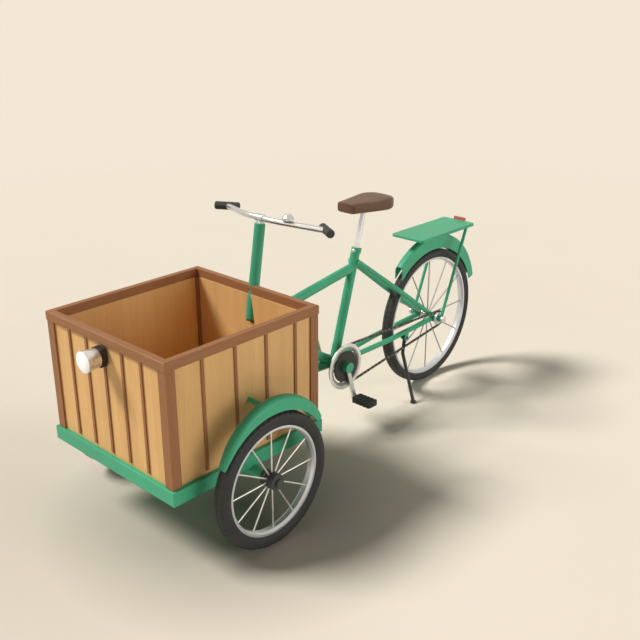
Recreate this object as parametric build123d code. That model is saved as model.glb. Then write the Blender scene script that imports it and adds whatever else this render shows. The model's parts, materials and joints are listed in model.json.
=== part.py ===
"""Cargo tricycle with a wooden load box between its two front wheels.

Millimetres.  +X is forward, +Y is the vehicle's left, +Z is up, the ground is z = 0.
Lengths along X are measured from the front axle, and the whole vehicle is shifted at the end so
that the origin lies on the ground below the middle of its length and width.
"""
import os
from math import acos, atan2, cos, hypot, pi, radians, sin, sqrt, tan

from build123d import *

# Wheels
FRONT_WHEEL_R = 253.0
FRONT_TYRE_W = 50.0
FRONT_TYRE_H = 49.0
REAR_WHEEL_R = 330.0
REAR_TYRE_W = 48.0
REAR_TYRE_H = 39.0
WHEELBASE = 1478.0
WHEEL_BESIDE_TRAY = 61.5
RIM_DEPTH = 14.0
RIM_INSET = 7.0
RIM_LIP_T = 2.5
RIM_WALL = 8.4
RIM_TAPER = 9.0
RIM_TYRE_LAP = 6.0
SPOKE_COUNT = 12
SPOKE_R = 3.0
SPOKE_ROOT = 4.0
FRONT_HUB_R = 30.0
FRONT_HUB_LENGTH = 62.0
REAR_HUB_R = 24.0
REAR_HUB_LENGTH = 56.0
HUB_WAIST = 5.0
HUB_FLANGE_W = 9.0
HUB_BEVEL = 2.0
AXLE_R = 9.0
REAR_AXLE_R = 8.0
RUNNING_FIT = 0.05
AXLE_NUT_R = 15.0
AXLE_NUT_T = 8.0
REAR_NUT_R = 17.0
SIDE_PLAY = 0.5

# Half of the tyre's section from its foot to its crown: share of the half width, share of the height
TYRE_SECTION = ((1.0, 0.45), (0.48, 1.0))

# Load box
BOX_LENGTH = 694.0
BOX_WIDTH = 670.0
BOX_AHEAD = 4.0
RAIL_TOP = 779.0
RAIL_H = 33.0
RAIL_W = 26.0
RAIL_EDGE = 3.0
POST_INSET = 2.3
POST_W = 38.0
WALL_INSET = 9.0
WALL_T = 20.0
FRONT_PLANK_W = 101.0
SIDE_PLANK_W = 141.5
SIDE_FIRST_PLANK_W = 112.5
BATTEN_W = 12.0
BATTEN_T = 5.0
BATTEN_FOOT = 14.0
FLOOR_T = 14.0
TRAY_OVER_AXLE = 71.0
TRAY_H = 52.0
TRAY_LEDGE_X = 6.0
TRAY_LEDGE_Y = 9.5
TRAY_SKIN = 5.0
TRAY_EDGE = 2.0
AXLE_TUBE_R = 24.0
AXLE_TUBE_GAP = 6.0
HANGER_INSET = 94.5
HANGER_W = 40.0
SEAT_FIT = 0.3

# Front fenders
FENDER_EDGE_GAP = 7.0
FENDER_END_GAP = 12.0
FENDER_TOP_GAP = 57.0
FENDER_W = 42.0
FENDER_SHOULDER_R = 14.0
FENDER_SHOULDER_FACES = 3
FENDER_SHEET = 4.0
FENDER_FRONT_ANGLE = 31.0
FENDER_TOP_ANGLE = 101.0
FENDER_REAR_ANGLE = 145.0
FENDER_STAY_R = 9.0
FENDER_STAY_DROP = 6.0

# Lamp
LAMP_BELOW_RAIL = 73.0
LAMP_R = 39.0
LAMP_BACK_R = 33.0
LAMP_BODY_L = 52.0
LAMP_REACH = 84.0
LAMP_BEZEL_T = 3.0
LAMP_LENS_T = 9.0
LAMP_LENS_EDGE_T = 5.0
LAMP_LENS_FLAT_R = 27.0
LAMP_BLOCK_W = 44.0
LAMP_BLOCK_H = 62.0

# Steering column and handlebar
COLUMN_R = 21.0
COLUMN_BEHIND_BOX = 36.0
COLUMN_OVER_RAIL = 231.0
COLUMN_LENGTH = 369.0
COLUMN_RAKE = 9.3
STRAP_BELOW_RAIL = 49.0
STRAP_H = 36.0
STRAP_T = 5.0
STRAP_FLANGE = 24.0
BAR_R = 11.0
BAR_OVER_COLUMN = 21.0
BAR_FLAT = 78.0
BAR_BEND_R = 220.0
BAR_SWEEP = 73.0
BAR_DROP = 13.5
BAR_END_Y = 268.0
GRIP_ANGLE = 30.0
GRIP_R = 16.0
GRIP_L = 100.0
GRIP_ROUND = 4.0
STEM_R = 15.0
STEM_W = 34.0
STEM_NECK_R = 13.0
BELL_R = 22.0
BELL_H = 20.0
BELL_CAP_R = 12.0
BELL_FOOT_R = 6.0
BELL_FOOT_H = 4.0
BELL_Y = 126.0

# Pivot between box and rear frame
PIVOT_BEHIND_BOX = 51.0
PIVOT_PIN_R = 12.5
HEAD_R = 24.0
HEAD_OVER_TRAY_FOOT = 30.0
HEAD_BELOW_RAIL = 117.0
LUG_T = 12.0
LUG_R = 26.0
LUG_W = 104.0
BRACKET_T = 6.0
THRUST_GAP = 0.5
PIN_HEAD_R = 19.0
PIN_HEAD_T = 8.0

# Rear frame
TUBE_R = 20.0
BB_BEHIND_PIVOT = 403.0
BB_Z = 304.0
BB_R = 25.0
BB_HALF = 36.0
SEAT_TUBE_LEAN = 139.0
SEAT_TUBE_TOP = 785.0
SEAT_POST_R = 11.0
SEAT_POST_LAP = 90.0
TOP_TUBE_BELOW_HEAD = 33.0
TOP_TUBE_BELOW_SEAT = 75.0
DOWN_TUBE_BELOW_HEAD = 102.0
LOWER_TUBE_OVER_HEAD_FOOT = 36.0
STAY_R = 12.0
STAY_CLEAR = 6.0
STAY_ROOT_Y = 19.0
STAY_BEND_R = 120.0
STAY_KNEE_AHEAD = 24.0
SEAT_STAY_BELOW_SEAT = 48.0
AXLE_PLATE_T = 7.0
AXLE_PLATE_R = 22.0

# Drive
CHAIN_GAP = 5.5
CHAIN_PITCH = 12.7
CHAIN_W = 8.0
CHAIN_H = 8.6
CHAIN_WAIST = 1.0
TOOTH_H = 4.0
TOOTH_TIP = 0.12
TOOTH_ROOT = 0.32
CHAINRING_TEETH = 46
CHAINRING_T = 3.0
CHAINRING_BAND = 12.0
CHAINRING_ARMS = 5
CHAINRING_ARM_W = 14.0
GUARD_RING_R = 103.0
GUARD_RING_BAND = 23.0
GUARD_RING_T = 2.5
GUARD_GAP = 0.8
GUARD_BOLT_R = 4.0
SPROCKET_TEETH = 18
SPROCKET_COLLAR_R = 16.0
DISC_R = 70.0
DISC_T = 5.0
CRANK_BOSS_R = 24.0
CRANK_BOSS_END = 95.0
CRANK_BOSS_GAP = 6.0
CRANK_CLEAR = 5.5
CRANK_LENGTH = 170.0
CRANK_ANGLE = 17.5
CRANK_W = 20.0
CRANK_T = 10.0
CRANK_EYE_R = 14.0
SPINDLE_R = 10.0
PEDAL_GAP = 4.0
PEDAL_L = 100.0
PEDAL_W = 60.0
PEDAL_H = 22.0
PEDAL_AXLE_R = 6.0
PEDAL_CORNER = 6.0
PEDAL_RIBS = 5
PEDAL_GROOVE_W = 6.0
PEDAL_GROOVE_D = 2.5

# Saddle
SADDLE_TOP = 1000.0
SADDLE_AHEAD_OF_POST = 126.0
SADDLE_NOSE_H = 41.0
SADDLE_TAIL_H = 56.0
SADDLE_CORNER_R = 12.0
SADDLE_EDGE = 6.0
SADDLE_OVER_POST = 28.0

# Saddle outline from the nose back: distance behind the nose, half width there
SADDLE_OUTLINE = ((0.0, 34.0), (115.0, 64.0), (195.0, 86.0), (245.0, 60.0))

# Rear fender and rack
REAR_FENDER_EDGE_GAP = 6.0
REAR_FENDER_END_GAP = 53.0
REAR_FENDER_TOP_GAP = 72.0
REAR_FENDER_W = 44.0
REAR_FENDER_SHOULDER_R = 15.0
REAR_FENDER_FRONT_ANGLE = 52.0
REAR_FENDER_TOP_ANGLE = 104.0
REAR_FENDER_REAR_ANGLE = 160.0
RISER_H = 17.0
RISER_L = 60.0
RISER_W = 24.0
RACK_T = 13.0
RACK_L = 414.0
RACK_W = 180.0
RACK_AHEAD_OF_AXLE = 185.0
RACK_EDGE_R = 4.0
STRUT_R = 7.5
STRUT_BEHIND_AXLE = 174.0
STRUT_CLEAR = 6.0
EYE_R = 15.0
EYE_T = 16.0
REFLECTOR_W = 62.0
REFLECTOR_H = 26.0
REFLECTOR_T = 9.0

# Kickstand
STAND_R = 8.0
STAND_AHEAD_OF_AXLE = 231.0
STAND_FOOT_AHEAD = 40.0
STAND_FOOT_Y = 136.0
STAND_FOOT_R = 13.0
STAND_FOOT_H = 11.0
STAND_LUG_R = 13.0
STAND_EYE_R = 10.5
STAND_CHEEK_T = 5.0
STAND_STRAIGHT = 78.0
STAND_PIN_R = 5.0
STAND_PIN_PROUD = 2.0
STAND_PLAY = 0.4

# Places worked out from the sizes above
FRONT_RIM_R = FRONT_WHEEL_R - FRONT_TYRE_H
REAR_RIM_R = REAR_WHEEL_R - REAR_TYRE_H
BOX_FRONT = BOX_LENGTH / 2 + BOX_AHEAD
BOX_REAR = BOX_FRONT - BOX_LENGTH
WALL_Y = BOX_WIDTH / 2 - WALL_INSET
RAIL_BOTTOM = RAIL_TOP - RAIL_H
TRAY_TOP = FRONT_WHEEL_R + TRAY_OVER_AXLE
TRAY_BOTTOM = TRAY_TOP - TRAY_H
TRAY_HALF_W = BOX_WIDTH / 2 + TRAY_LEDGE_Y
WHEEL_Y = TRAY_HALF_W + WHEEL_BESIDE_TRAY + FRONT_TYRE_W / 2
AXLE_END_Y = WHEEL_Y + FRONT_HUB_LENGTH / 2 + SIDE_PLAY + AXLE_NUT_T
COLUMN_TOP = RAIL_TOP + COLUMN_OVER_RAIL
COLUMN_TOP_X = BOX_REAR - COLUMN_BEHIND_BOX
BAR_Z = COLUMN_TOP + BAR_OVER_COLUMN
BAR_X = COLUMN_TOP_X - BAR_OVER_COLUMN * tan(radians(COLUMN_RAKE))
STRAP_TOP = RAIL_TOP - STRAP_BELOW_RAIL
PIVOT_X = BOX_REAR - PIVOT_BEHIND_BOX
HEAD_BOTTOM = TRAY_BOTTOM + HEAD_OVER_TRAY_FOOT
HEAD_TOP = RAIL_TOP - HEAD_BELOW_RAIL
BB_X = PIVOT_X - BB_BEHIND_PIVOT
SEAT_POST_TOP = SADDLE_TOP - SADDLE_OVER_POST
STAY_Y = REAR_TYRE_W / 2 + STAY_CLEAR + STAY_R
CHAIN_Y = STAY_Y + STAY_R + CHAIN_GAP + CHAIN_W / 2
CHAINRING_PITCH_R = CHAIN_PITCH / (2 * sin(pi / CHAINRING_TEETH))
SPROCKET_PITCH_R = CHAIN_PITCH / (2 * sin(pi / SPROCKET_TEETH))
TOOTH_UNDER_PITCH = CHAIN_H / 2 + SEAT_FIT
CRANK_IN_Y = CHAIN_Y + CHAIN_W / 2 + CRANK_CLEAR
STRUT_Y = CHAIN_Y + CHAIN_W / 2 + STRUT_CLEAR + STRUT_R
DECK_UNDER = 2 * REAR_WHEEL_R + REAR_FENDER_TOP_GAP + RISER_H
RACK_TOP = DECK_UNDER + RACK_T
RACK_FRONT_X = RACK_AHEAD_OF_AXLE - WHEELBASE
RACK_REAR_X = RACK_FRONT_X - RACK_L


def rod(start, end, radius):
    """Round bar between two points."""
    along = Vector(*end) - Vector(*start)
    return Plane(origin=start, z_dir=along) * Cylinder(
        radius, along.length, align=(Align.CENTER, Align.CENTER, Align.MIN))


def block(low, high):
    """Box between two opposite corners."""
    size = [b - a for a, b in zip(low, high)]
    centre = [(a + b) / 2 for a, b in zip(low, high)]
    return Pos(*centre) * Box(*size)


def side_block(side, low, high):
    """Box given for the left side, or its mirror image on the right."""
    y_low, y_high = sorted((side * low[1], side * high[1]))
    return block((low[0], y_low, low[2]), (high[0], y_high, high[2]))


def along_y(radius, y_from, y_to, x=0.0, z=0.0):
    """Round bar parallel to Y."""
    return rod((x, y_from, z), (x, y_to, z), radius)


def spin_y(profile_points, x, y, z):
    """Ring turned about a Y axis at (x, y, z) from (offset along Y, radius) points."""
    outline = Polyline(*[(radius, offset) for offset, radius in profile_points], close=True)
    return Pos(x, y, z) * revolve(make_face(outline), axis=Axis.Y)


def swept_rod(points, bend_radius, radius):
    """Round bar along straight runs joined by tangent arcs."""
    path = FilletPolyline(*points, radius=bend_radius)
    section = Plane(origin=path @ 0, z_dir=path % 0) * Circle(radius)
    return sweep(section, path=path)


def both_sides(shape):
    """The left piece and its mirror image, as one pair."""
    return Compound(children=[shape, mirror(shape, about=Plane.XZ)])


def column_axis_point(z):
    """Point of the raked column's axis at height z."""
    return (COLUMN_TOP_X + (COLUMN_TOP - z) * tan(radians(COLUMN_RAKE)), 0, z)


def column_cutter():
    """Space that the column and its fit take out of what it is let into."""
    below = COLUMN_TOP - COLUMN_LENGTH - 2 * STRAP_T
    return rod(column_axis_point(below), column_axis_point(COLUMN_TOP), COLUMN_R + SEAT_FIT)


def seat_tube_point(z):
    """Point of the seat tube's axis at height z."""
    return (BB_X - SEAT_TUBE_LEAN * (z - BB_Z) / (SEAT_TUBE_TOP - BB_Z), 0, z)


def tyre(wheel_r, width, rim_r, x, y):
    """Tyre that narrows down between the rim's lips to a flat foot."""
    half = width / 2
    mouth = half - RIM_INSET - RIM_LIP_T
    left = [(share_w * half, rim_r + share_h * (wheel_r - rim_r)) for share_w, share_h in TYRE_SECTION]
    flare = (left[0][0] - mouth) / (left[0][1] - rim_r)
    left.insert(0, (mouth - flare * RIM_TYRE_LAP, rim_r - RIM_TYRE_LAP))
    right = [(-offset, radius) for offset, radius in reversed(left)]
    return spin_y(left + right, x, y, wheel_r)


def rim(wheel_r, width, rim_r, x, y):
    """Channel rim whose lips hold the tyre's foot."""
    half = width / 2 - RIM_INSET
    foot = half - RIM_LIP_T
    left = [(half - RIM_TAPER, rim_r - RIM_DEPTH), (half, rim_r - RIM_WALL), (half, rim_r), (foot, rim_r),
            (foot, rim_r - RIM_TYRE_LAP)]
    right = [(-offset, radius) for offset, radius in reversed(left)]
    return spin_y(left + right, x, y, wheel_r)


def spoked_hub(wheel_r, rim_r, hub_r, hub_length, bore_r, x, y):
    """Flanged hub with its straight spokes out to the rim."""
    half = hub_length / 2
    waist_r = hub_r - HUB_WAIST
    left = [(half - HUB_FLANGE_W - HUB_WAIST, waist_r), (half - HUB_FLANGE_W, hub_r),
            (half - HUB_BEVEL, hub_r), (half, hub_r - HUB_BEVEL), (half, bore_r)]
    right = [(-offset, radius) for offset, radius in reversed(left)]
    body = spin_y(left + right, x, y, wheel_r)
    inside = along_y(rim_r - RIM_DEPTH, y - half, y + half, x, wheel_r)
    spokes = []
    for index in range(SPOKE_COUNT):
        turn = radians(index * 360 / SPOKE_COUNT)
        start, end = [(x + reach * cos(turn), y, wheel_r + reach * sin(turn))
                      for reach in (waist_r - SPOKE_ROOT, rim_r)]
        spokes.append(rod(start, end, SPOKE_R) & inside)
    return body + spokes


def crown_circle(wheel_r, end_gap, top_gap, front_angle, top_angle):
    """Circle of a fender's crown: its centre from the axle along X and Z, and its radius.

    The crown lies end_gap above the tyre at the front end and top_gap above it at its highest.
    """
    end = wheel_r + end_gap
    top = wheel_r + top_gap
    rise = (top ** 2 - end ** 2) / (2 * (top - end * cos(radians(top_angle - front_angle))))
    return rise * cos(radians(top_angle)), rise * sin(radians(top_angle)), top - rise


def crown_distance(circle, angle):
    """Distance from the axle to the crown in the direction of angle."""
    centre_x, centre_z, radius = circle
    along = centre_x * cos(radians(angle)) + centre_z * sin(radians(angle))
    across = centre_z * cos(radians(angle)) - centre_x * sin(radians(angle))
    return along + sqrt(radius ** 2 - across ** 2)


def channel_section(top_r, depth, width, shoulder_r):
    """Half of a channel open below, in flat facets, as (radius, offset) points from its edge up."""
    root_r, root_y = top_r - shoulder_r, width / 2 - shoulder_r
    points = [(top_r - depth, width / 2)]
    for step in range(FENDER_SHOULDER_FACES + 1):
        turn = radians(90 * step / FENDER_SHOULDER_FACES)
        points.append((root_r + shoulder_r * sin(turn), root_y + shoulder_r * cos(turn)))
    return points


def crowned_fender(wheel_r, circle, edge_gap, width, shoulder_r, kept):
    """Round-shouldered sheet that rises from the tyre towards its middle, open below.

    kept outlines the part of its ring that stays, as (x, z) points from the axle.
    """
    centre_x, centre_z, radius = circle
    depth = radius + hypot(centre_x, centre_z) - wheel_r
    outer = channel_section(radius, depth, width, shoulder_r)
    inner = channel_section(radius - FENDER_SHEET, depth, width - 2 * FENDER_SHEET,
                            shoulder_r - FENDER_SHEET)
    faces = []
    for half in (outer, inner):
        other = [(reach, -offset) for reach, offset in reversed(half)]
        faces.append(make_face(Polyline(*half, *other, close=True)))
    ring = Pos(centre_x, 0, centre_z) * revolve(faces[0] - faces[1], axis=Axis.Y)
    ring -= along_y(wheel_r + edge_gap, -width, width)
    outline = Polyline(*[(x, 0, z) for x, z in kept], close=True)
    return ring & extrude(make_face(outline), width, both=True)


def ray(angle, reach):
    """Point at a distance from the axle, as (x, z)."""
    return (reach * cos(radians(angle)), reach * sin(radians(angle)))


def front_crown():
    """Crown circle of a front fender."""
    return crown_circle(FRONT_WHEEL_R, FENDER_END_GAP, FENDER_TOP_GAP, FENDER_FRONT_ANGLE, FENDER_TOP_ANGLE)


def rear_crown():
    """Crown circle of the rear fender."""
    return crown_circle(REAR_WHEEL_R, REAR_FENDER_END_GAP, REAR_FENDER_TOP_GAP,
                        REAR_FENDER_FRONT_ANGLE, REAR_FENDER_TOP_ANGLE)


def toothed_wheel(teeth, pitch_r):
    """Plate whose teeth end just inside the chain, about a Y axis."""
    tip_r = pitch_r - TOOTH_UNDER_PITCH
    points = []
    for index in range(teeth):
        for turn, reach in ((-TOOTH_ROOT, tip_r - TOOTH_H), (-TOOTH_TIP, tip_r), (TOOTH_TIP, tip_r),
                            (TOOTH_ROOT, tip_r - TOOTH_H)):
            points.append(ray((index + turn) * 360 / teeth, reach))
    outline = Polyline(*[(x, 0, z) for x, z in points], close=True)
    return extrude(make_face(outline), CHAINRING_T / 2, both=True)


def build_front_wheels(parts):
    """Two front wheels on the beam axle."""
    for side, name in ((1, "left"), (-1, "right")):
        y = side * WHEEL_Y
        parts[f"front_rim_{name}"] = rim(FRONT_WHEEL_R, FRONT_TYRE_W, FRONT_RIM_R, 0, y)
        parts[f"front_tyre_{name}"] = tyre(FRONT_WHEEL_R, FRONT_TYRE_W, FRONT_RIM_R, 0, y)
        parts[f"front_hub_{name}"] = spoked_hub(
            FRONT_WHEEL_R, FRONT_RIM_R, FRONT_HUB_R, FRONT_HUB_LENGTH, AXLE_R + RUNNING_FIT, 0, y)


def build_rear_wheel(parts):
    """Driven rear wheel with its live axle and sprocket."""
    x, z = -WHEELBASE, REAR_WHEEL_R
    parts["rear_rim"] = rim(REAR_WHEEL_R, REAR_TYRE_W, REAR_RIM_R, x, 0)
    parts["rear_tyre"] = tyre(REAR_WHEEL_R, REAR_TYRE_W, REAR_RIM_R, x, 0)
    parts["rear_hub"] = spoked_hub(REAR_WHEEL_R, REAR_RIM_R, REAR_HUB_R, REAR_HUB_LENGTH, REAR_AXLE_R, x, 0)
    nut_y = STRUT_Y + EYE_T / 2 + SIDE_PLAY
    axle = along_y(REAR_AXLE_R, -nut_y, nut_y, x, z)
    for side in (1, -1):
        axle += along_y(REAR_NUT_R, side * nut_y, side * (nut_y + AXLE_NUT_T), x, z)
    parts["rear_axle"] = axle
    sprocket = Pos(x, CHAIN_Y, z) * toothed_wheel(SPROCKET_TEETH, SPROCKET_PITCH_R)
    sprocket += along_y(SPROCKET_COLLAR_R, CHAIN_Y - CHAIN_W / 2, CHAIN_Y + CHAIN_W / 2, x, z)
    parts["rear_sprocket"] = sprocket - along_y(REAR_AXLE_R, CHAIN_Y - CHAIN_W, CHAIN_Y + CHAIN_W, x, z)


def build_tray(parts):
    """Steel tray under the box, its beam axle and the hangers between them."""
    front = BOX_FRONT + TRAY_LEDGE_X
    rear = BOX_REAR - TRAY_LEDGE_X
    tray = block((rear, -TRAY_HALF_W, TRAY_BOTTOM), (front, TRAY_HALF_W, TRAY_TOP))
    tray = chamfer(tray.faces().sort_by(Axis.Z)[-1].edges(), TRAY_EDGE)
    tray -= block((rear + TRAY_SKIN, TRAY_SKIN - TRAY_HALF_W, TRAY_BOTTOM),
                  (front - TRAY_SKIN, TRAY_HALF_W - TRAY_SKIN, TRAY_TOP - TRAY_SKIN))
    parts["tray"] = tray - along_y(AXLE_TUBE_R + SEAT_FIT, -TRAY_HALF_W, TRAY_HALF_W, 0, FRONT_WHEEL_R)
    hub_in = WHEEL_Y - FRONT_HUB_LENGTH / 2
    hub_out = WHEEL_Y + FRONT_HUB_LENGTH / 2
    tube_end = hub_in - AXLE_TUBE_GAP
    beam = along_y(AXLE_TUBE_R, -tube_end, tube_end, 0, FRONT_WHEEL_R)
    hanger_y = TRAY_HALF_W - HANGER_INSET
    for side in (1, -1):
        beam += along_y(AXLE_R, side * tube_end, side * AXLE_END_Y, 0, FRONT_WHEEL_R)
        beam += along_y(AXLE_NUT_R, side * tube_end, side * (hub_in - SIDE_PLAY), 0, FRONT_WHEEL_R)
        beam += along_y(AXLE_NUT_R, side * (hub_out + SIDE_PLAY), side * AXLE_END_Y, 0, FRONT_WHEEL_R)
        beam += side_block(side, (-AXLE_TUBE_R, hanger_y - HANGER_W / 2, FRONT_WHEEL_R),
                           (AXLE_TUBE_R, hanger_y + HANGER_W / 2, TRAY_TOP - TRAY_SKIN))
    parts["front_axle"] = beam


def build_box(parts):
    """Floor boards, four walls, corner posts and the top rail."""
    half = BOX_WIDTH / 2
    rear_x, front_x = BOX_REAR + WALL_INSET, BOX_FRONT - WALL_INSET
    post_rear_x, post_front_x = BOX_REAR + POST_INSET + POST_W, BOX_FRONT - POST_INSET - POST_W
    post_y = half - POST_INSET - POST_W
    inner_y = WALL_Y - WALL_T
    cutter = column_cutter()
    floor = block((rear_x + WALL_T, -inner_y, TRAY_TOP), (front_x - WALL_T, inner_y, TRAY_TOP + FLOOR_T))
    posts = []
    for x_low in (BOX_REAR + POST_INSET, post_front_x):
        for side in (1, -1):
            post = side_block(side, (x_low, post_y, TRAY_TOP),
                              (x_low + POST_W, post_y + POST_W, RAIL_BOTTOM))
            posts.append(post)
            floor -= post
    parts["box_floor"] = floor
    parts["corner_posts"] = Compound(children=posts)
    parts["box_wall_front"] = block((front_x - WALL_T, -post_y, TRAY_TOP), (front_x, post_y, RAIL_BOTTOM))
    rear_wall = block((rear_x, -post_y, TRAY_TOP), (rear_x + WALL_T, post_y, RAIL_BOTTOM))
    parts["box_wall_rear"] = rear_wall - cutter
    for side, name in ((1, "left"), (-1, "right")):
        parts[f"box_wall_{name}"] = side_block(
            side, (post_rear_x, inner_y, TRAY_TOP), (post_front_x, WALL_Y, RAIL_BOTTOM))
    rail = block((BOX_REAR, -half, RAIL_BOTTOM), (BOX_FRONT, half, RAIL_TOP))
    rail = chamfer(rail.faces().sort_by(Axis.Z)[-1].edges(), RAIL_EDGE)
    rail -= block((BOX_REAR + RAIL_W, RAIL_W - half, RAIL_BOTTOM),
                  (BOX_FRONT - RAIL_W, half - RAIL_W, RAIL_TOP))
    parts["top_rail"] = rail - cutter
    parts["battens"] = battens(front_x, post_rear_x, post_front_x, post_y)


def battens(front_x, post_rear_x, post_front_x, post_y):
    """Strips over the joints between the planks of the front and side walls."""
    low, high = TRAY_TOP + BATTEN_FOOT, RAIL_BOTTOM
    strips = []
    count = int(2 * post_y // FRONT_PLANK_W)
    for index in range(count):
        y = (index - (count - 1) / 2) * FRONT_PLANK_W
        strips.append(block((front_x, y - BATTEN_W / 2, low), (front_x + BATTEN_T, y + BATTEN_W / 2, high)))
    x = post_front_x - SIDE_FIRST_PLANK_W
    while x > post_rear_x + BATTEN_W:
        for side in (1, -1):
            strips.append(side_block(
                side, (x - BATTEN_W / 2, WALL_Y, low), (x + BATTEN_W / 2, WALL_Y + BATTEN_T, high)))
        x -= SIDE_PLANK_W
    return Compound(children=strips)


def build_front_fenders(parts):
    """Short fenders over the front wheels, each on one bar from the box wall."""
    far = 2 * FRONT_WHEEL_R
    kept = [(0, 0), ray(FENDER_FRONT_ANGLE, far), ray(FENDER_TOP_ANGLE, far), ray(FENDER_REAR_ANGLE, far)]
    sheet = Pos(0, WHEEL_Y, FRONT_WHEEL_R) * crowned_fender(
        FRONT_WHEEL_R, front_crown(), FENDER_EDGE_GAP, FENDER_W, FENDER_SHOULDER_R, kept)
    skirt_y = WHEEL_Y - FENDER_W / 2 + FENDER_SHEET
    end_z = 2 * FRONT_WHEEL_R + FENDER_EDGE_GAP + FENDER_STAY_R
    bar = rod((0, WALL_Y - FENDER_STAY_R, end_z + FENDER_STAY_DROP), (0, skirt_y, end_z), FENDER_STAY_R)
    bar &= block((-FENDER_W, WALL_Y, TRAY_TOP), (FENDER_W, skirt_y, RAIL_TOP))
    parts["front_fender_left"] = sheet + bar
    parts["front_fender_right"] = mirror(sheet + bar, about=Plane.XZ)


def build_lamp(parts):
    """Round lamp on a block under the front rail."""
    z = RAIL_TOP - LAMP_BELOW_RAIL
    wall_x = BOX_FRONT - WALL_INSET + BATTEN_T
    mouth_x = BOX_FRONT + LAMP_REACH - LAMP_LENS_T
    back_x = mouth_x - LAMP_BODY_L
    parts["lamp_block"] = block((wall_x, -LAMP_BLOCK_W / 2, z - LAMP_BLOCK_H / 2),
                                (back_x, LAMP_BLOCK_W / 2, z + LAMP_BLOCK_H / 2))
    outline = Polyline((back_x, 0), (back_x, LAMP_BACK_R), (mouth_x, LAMP_R), (mouth_x, 0), close=True)
    parts["lamp_shell"] = Pos(0, 0, z) * revolve(make_face(outline), axis=Axis.X)
    lens_r = LAMP_R - LAMP_BEZEL_T
    dome = Polyline((mouth_x, 0), (mouth_x, lens_r), (mouth_x + LAMP_LENS_EDGE_T, LAMP_LENS_FLAT_R),
                    (mouth_x + LAMP_LENS_T, 0), close=True)
    parts["lamp_lens"] = Pos(0, 0, z) * revolve(make_face(dome), axis=Axis.X)


def build_column(parts):
    """Raked column let into the rear wall, and the strap that holds it there."""
    foot_z = COLUMN_TOP - COLUMN_LENGTH * cos(radians(COLUMN_RAKE))
    parts["column"] = rod(column_axis_point(foot_z), column_axis_point(COLUMN_TOP), COLUMN_R)
    wall_x = BOX_REAR + WALL_INSET
    strap_low = STRAP_TOP - STRAP_H
    reach = COLUMN_R + STRAP_T + STRAP_FLANGE
    sleeve = rod(column_axis_point(strap_low - COLUMN_R), column_axis_point(STRAP_TOP + COLUMN_R),
                 COLUMN_R + SEAT_FIT + STRAP_T)
    sleeve &= block((wall_x - 2 * reach, -reach, strap_low), (wall_x, reach, STRAP_TOP))
    flange = block((wall_x - STRAP_T, -reach, strap_low), (wall_x, reach, STRAP_TOP))
    parts["column_strap"] = sleeve + flange - column_cutter()


def build_handlebar(parts):
    """Swept bar with a cross grip on each end, its stem and the bell."""
    ends = [(BAR_X - BAR_SWEEP, side * BAR_END_Y, BAR_Z - BAR_DROP) for side in (-1, 1)]
    knees = [(BAR_X, side * BAR_FLAT, BAR_Z) for side in (-1, 1)]
    bar = swept_rod([ends[0], knees[0], knees[1], ends[1]], BAR_BEND_R, BAR_R)
    turn = radians(GRIP_ANGLE)
    grips = []
    for side, end in zip((-1, 1), ends):
        half_grip = Vector(GRIP_L / 2 * sin(turn), side * GRIP_L / 2 * cos(turn), 0)
        grip = rod(Vector(*end) - half_grip, Vector(*end) + half_grip, GRIP_R)
        grips.append(fillet(grip.edges().filter_by(GeomType.CIRCLE), GRIP_ROUND))
        bar -= grip
    parts["handlebar"] = bar
    parts["grips"] = Compound(children=grips)
    stem = along_y(STEM_R, -STEM_W / 2, STEM_W / 2, BAR_X, BAR_Z)
    stem += rod(column_axis_point(COLUMN_TOP), (BAR_X, 0, BAR_Z), STEM_NECK_R)
    parts["stem_clamp"] = stem - along_y(BAR_R, -STEM_W, STEM_W, BAR_X, BAR_Z) - parts["column"]
    share = (BELL_Y - BAR_FLAT) / (BAR_END_Y - BAR_FLAT)
    bell_x = BAR_X - share * BAR_SWEEP
    bar_top = BAR_Z - share * BAR_DROP + BAR_R
    dome = Polyline((0, 0), (BELL_R, 0), (BELL_R, BELL_H / 2), (BELL_CAP_R, BELL_H), (0, BELL_H), close=True)
    bell = Pos(bell_x, BELL_Y, bar_top + BELL_FOOT_H) * revolve(make_face(Plane.XZ * dome), axis=Axis.Z)
    foot = rod((bell_x, BELL_Y, bar_top - BAR_R), (bell_x, BELL_Y, bar_top + BELL_FOOT_H), BELL_FOOT_R)
    parts["bell"] = bell + foot - bar


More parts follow.
